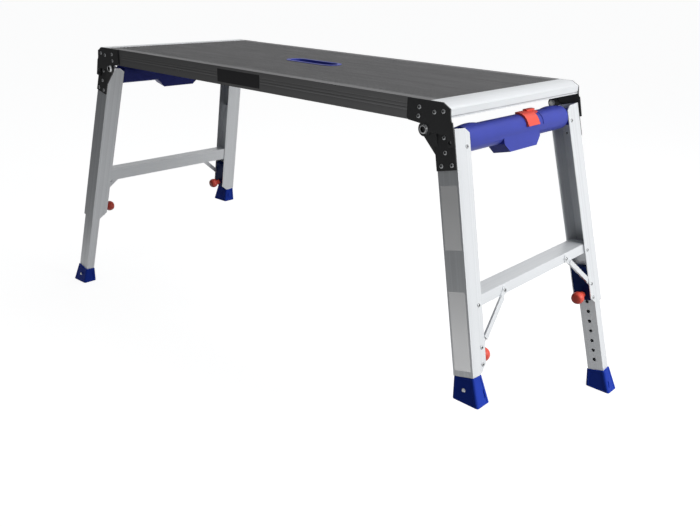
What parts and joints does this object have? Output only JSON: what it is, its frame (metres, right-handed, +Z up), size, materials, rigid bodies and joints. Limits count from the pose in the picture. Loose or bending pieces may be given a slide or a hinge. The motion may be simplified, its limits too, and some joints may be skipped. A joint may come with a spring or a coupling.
{
  "type": "folding work platform",
  "caption": "Folding aluminium work platform with a ribbed grey deck, splayed leg frames, telescopic legs with red knobs, and blue latch bars, grips and feet.",
  "frame": {"origin": "centre of the bounding box in plan, at the lowest sole", "axes": "+X along the deck to the near end, +Y to the back side, +Z up; the front side rail is at -Y"},
  "size_m": [1.5576, 0.5932, 0.7335],
  "materials": {
    "grey_deck": "grey anodised extrusion with fine ribs",
    "bare_aluminium": "mill finish extrusion, fine long brush lines",
    "black_steel": "black powder coat",
    "bright_steel": "zinc plated fasteners",
    "blue_plastic": "moulded blue plastic",
    "navy_plastic": "moulded dark blue plastic",
    "blue_rubber": "blue rubber foot",
    "red_plastic": "moulded red plastic",
    "blank_plate": "blank label stock, bare"
  },
  "bodies": {
    "platform": {"deck_planks": "grey_deck", "side_rail_front": "grey_deck", "side_rail_back": "grey_deck", "end_rail_near": "bare_aluminium", "end_rail_far": "bare_aluminium", "cross_members": "bare_aluminium", "carry_grip": "blue_plastic", "rail_plate": "blank_plate", "rail_bracket_near_front": "black_steel", "rail_bracket_near_back": "black_steel", "rail_bracket_far_front": "black_steel", "rail_bracket_far_back": "black_steel", "rail_rivets": "bright_steel", "pivot_bolts": "bright_steel", "pivot_nuts": "bright_steel"},
    "near_frame": {"near_stile_front": "bare_aluminium", "near_stile_back": "bare_aluminium", "near_bracket_front": "black_steel", "near_bracket_back": "black_steel", "near_rung": "bare_aluminium", "near_struts": "bare_aluminium", "near_latch_housing": "blue_plastic", "near_guide_blocks": "navy_plastic", "near_rivets": "bright_steel", "near_stickers": "blank_plate"},
    "near_trigger": {"near_trigger": "red_plastic"},
    "near_latch_bolt_front": {"near_latch_bolt_front": "bright_steel"},
    "near_latch_bolt_back": {"near_latch_bolt_back": "bright_steel"},
    "far_frame": {"far_stile_front": "bare_aluminium", "far_stile_back": "bare_aluminium", "far_bracket_front": "black_steel", "far_bracket_back": "black_steel", "far_rung": "bare_aluminium", "far_struts": "bare_aluminium", "far_latch_housing": "blue_plastic", "far_guide_blocks": "navy_plastic", "far_rivets": "bright_steel"},
    "far_trigger": {"far_trigger": "red_plastic"},
    "far_latch_bolt_front": {"far_latch_bolt_front": "bright_steel"},
    "far_latch_bolt_back": {"far_latch_bolt_back": "bright_steel"},
    "leg_near_front": {"leg_near_front": "bare_aluminium", "boot_near_front": "blue_rubber", "boot_screw_near_front": "bright_steel"},
    "knob_near_front": {"knob_near_front": "red_plastic", "pin_near_front": "bright_steel"},
    "leg_near_back": {"leg_near_back": "bare_aluminium", "boot_near_back": "blue_rubber", "boot_screw_near_back": "bright_steel"},
    "knob_near_back": {"knob_near_back": "red_plastic", "pin_near_back": "bright_steel"},
    "leg_far_front": {"leg_far_front": "bare_aluminium", "boot_far_front": "blue_rubber", "boot_screw_far_front": "bright_steel"},
    "knob_far_front": {"knob_far_front": "red_plastic", "pin_far_front": "bright_steel"},
    "leg_far_back": {"leg_far_back": "bare_aluminium", "boot_far_back": "blue_rubber", "boot_screw_far_back": "bright_steel"},
    "knob_far_back": {"knob_far_back": "red_plastic", "pin_far_back": "bright_steel"}
  },
  "joints": [
    {"name": "near_fold", "type": "hinge", "parent": "platform", "child": "near_frame", "pos_m": [0.541, 0, 0.678], "axis": [0, 1, 0], "range_deg": [0, 103]},
    {"name": "near_trigger_turn", "type": "hinge", "parent": "near_frame", "child": "near_trigger", "pos_m": [0.58271, 0.036, 0.65616], "axis": [0, 1, 0], "range_deg": [-12, 18], "stiffness_Nm_per_rad": 0.3},
    {"name": "far_fold", "type": "hinge", "parent": "platform", "child": "far_frame", "pos_m": [-0.541, 0, 0.678], "axis": [0, -1, 0], "range_deg": [0, 103]},
    {"name": "far_trigger_turn", "type": "hinge", "parent": "far_frame", "child": "far_trigger", "pos_m": [-0.58271, -0.036, 0.65616], "axis": [0, -1, 0], "range_deg": [-12, 18], "stiffness_Nm_per_rad": 0.3},
    {"name": "near_bolt_slide_front", "type": "slide", "parent": "near_frame", "child": "near_latch_bolt_front", "axis": [0, -1, 0], "range_m": [-0.0061, 0.0041]},
    {"name": "near_bolt_slide_back", "type": "slide", "parent": "near_frame", "child": "near_latch_bolt_back", "axis": [0, 1, 0], "range_m": [-0.0061, 0.0041]},
    {"name": "far_bolt_slide_front", "type": "slide", "parent": "far_frame", "child": "far_latch_bolt_front", "axis": [0, -1, 0], "range_m": [-0.0061, 0.0041]},
    {"name": "far_bolt_slide_back", "type": "slide", "parent": "far_frame", "child": "far_latch_bolt_back", "axis": [0, 1, 0], "range_m": [-0.0061, 0.0041]},
    {"name": "near_front_leg_slide", "type": "slide", "parent": "near_frame", "child": "leg_near_front", "axis": [-0.2353, 0.0741, 0.9691], "range_m": [-0.1778, 0]},
    {"name": "near_front_knob_pull", "type": "slide", "parent": "near_frame", "child": "knob_near_front", "axis": [0.0175, 0.9973, -0.072], "range_m": [-0.006, 0.01], "stiffness_N_per_m": 400},
    {"name": "near_back_leg_slide", "type": "slide", "parent": "near_frame", "child": "leg_near_back", "axis": [-0.2353, -0.0741, 0.9691], "range_m": [0, 0.1778]},
    {"name": "near_back_knob_pull", "type": "slide", "parent": "near_frame", "child": "knob_near_back", "axis": [0.0175, -0.9973, -0.072], "range_m": [-0.006, 0.01], "stiffness_N_per_m": 400},
    {"name": "far_front_leg_slide", "type": "slide", "parent": "far_frame", "child": "leg_far_front", "axis": [0.2353, 0.0741, 0.9691], "range_m": [0, 0.1778]},
    {"name": "far_front_knob_pull", "type": "slide", "parent": "far_frame", "child": "knob_far_front", "axis": [-0.0175, 0.9973, -0.072], "range_m": [-0.006, 0.01], "stiffness_N_per_m": 400},
    {"name": "far_back_leg_slide", "type": "slide", "parent": "far_frame", "child": "leg_far_back", "axis": [0.2353, -0.0741, 0.9691], "range_m": [-0.1778, 0]},
    {"name": "far_back_knob_pull", "type": "slide", "parent": "far_frame", "child": "knob_far_back", "axis": [-0.0175, -0.9973, -0.072], "range_m": [-0.006, 0.01], "stiffness_N_per_m": 400}
  ],
  "couplings": [
    {"joint": "near_bolt_slide_front", "follows": "near_trigger_turn", "m_per_rad": -0.0191},
    {"joint": "near_bolt_slide_back", "follows": "near_trigger_turn", "m_per_rad": -0.0191},
    {"joint": "far_bolt_slide_front", "follows": "far_trigger_turn", "m_per_rad": -0.0191},
    {"joint": "far_bolt_slide_back", "follows": "far_trigger_turn", "m_per_rad": -0.0191}
  ]
}
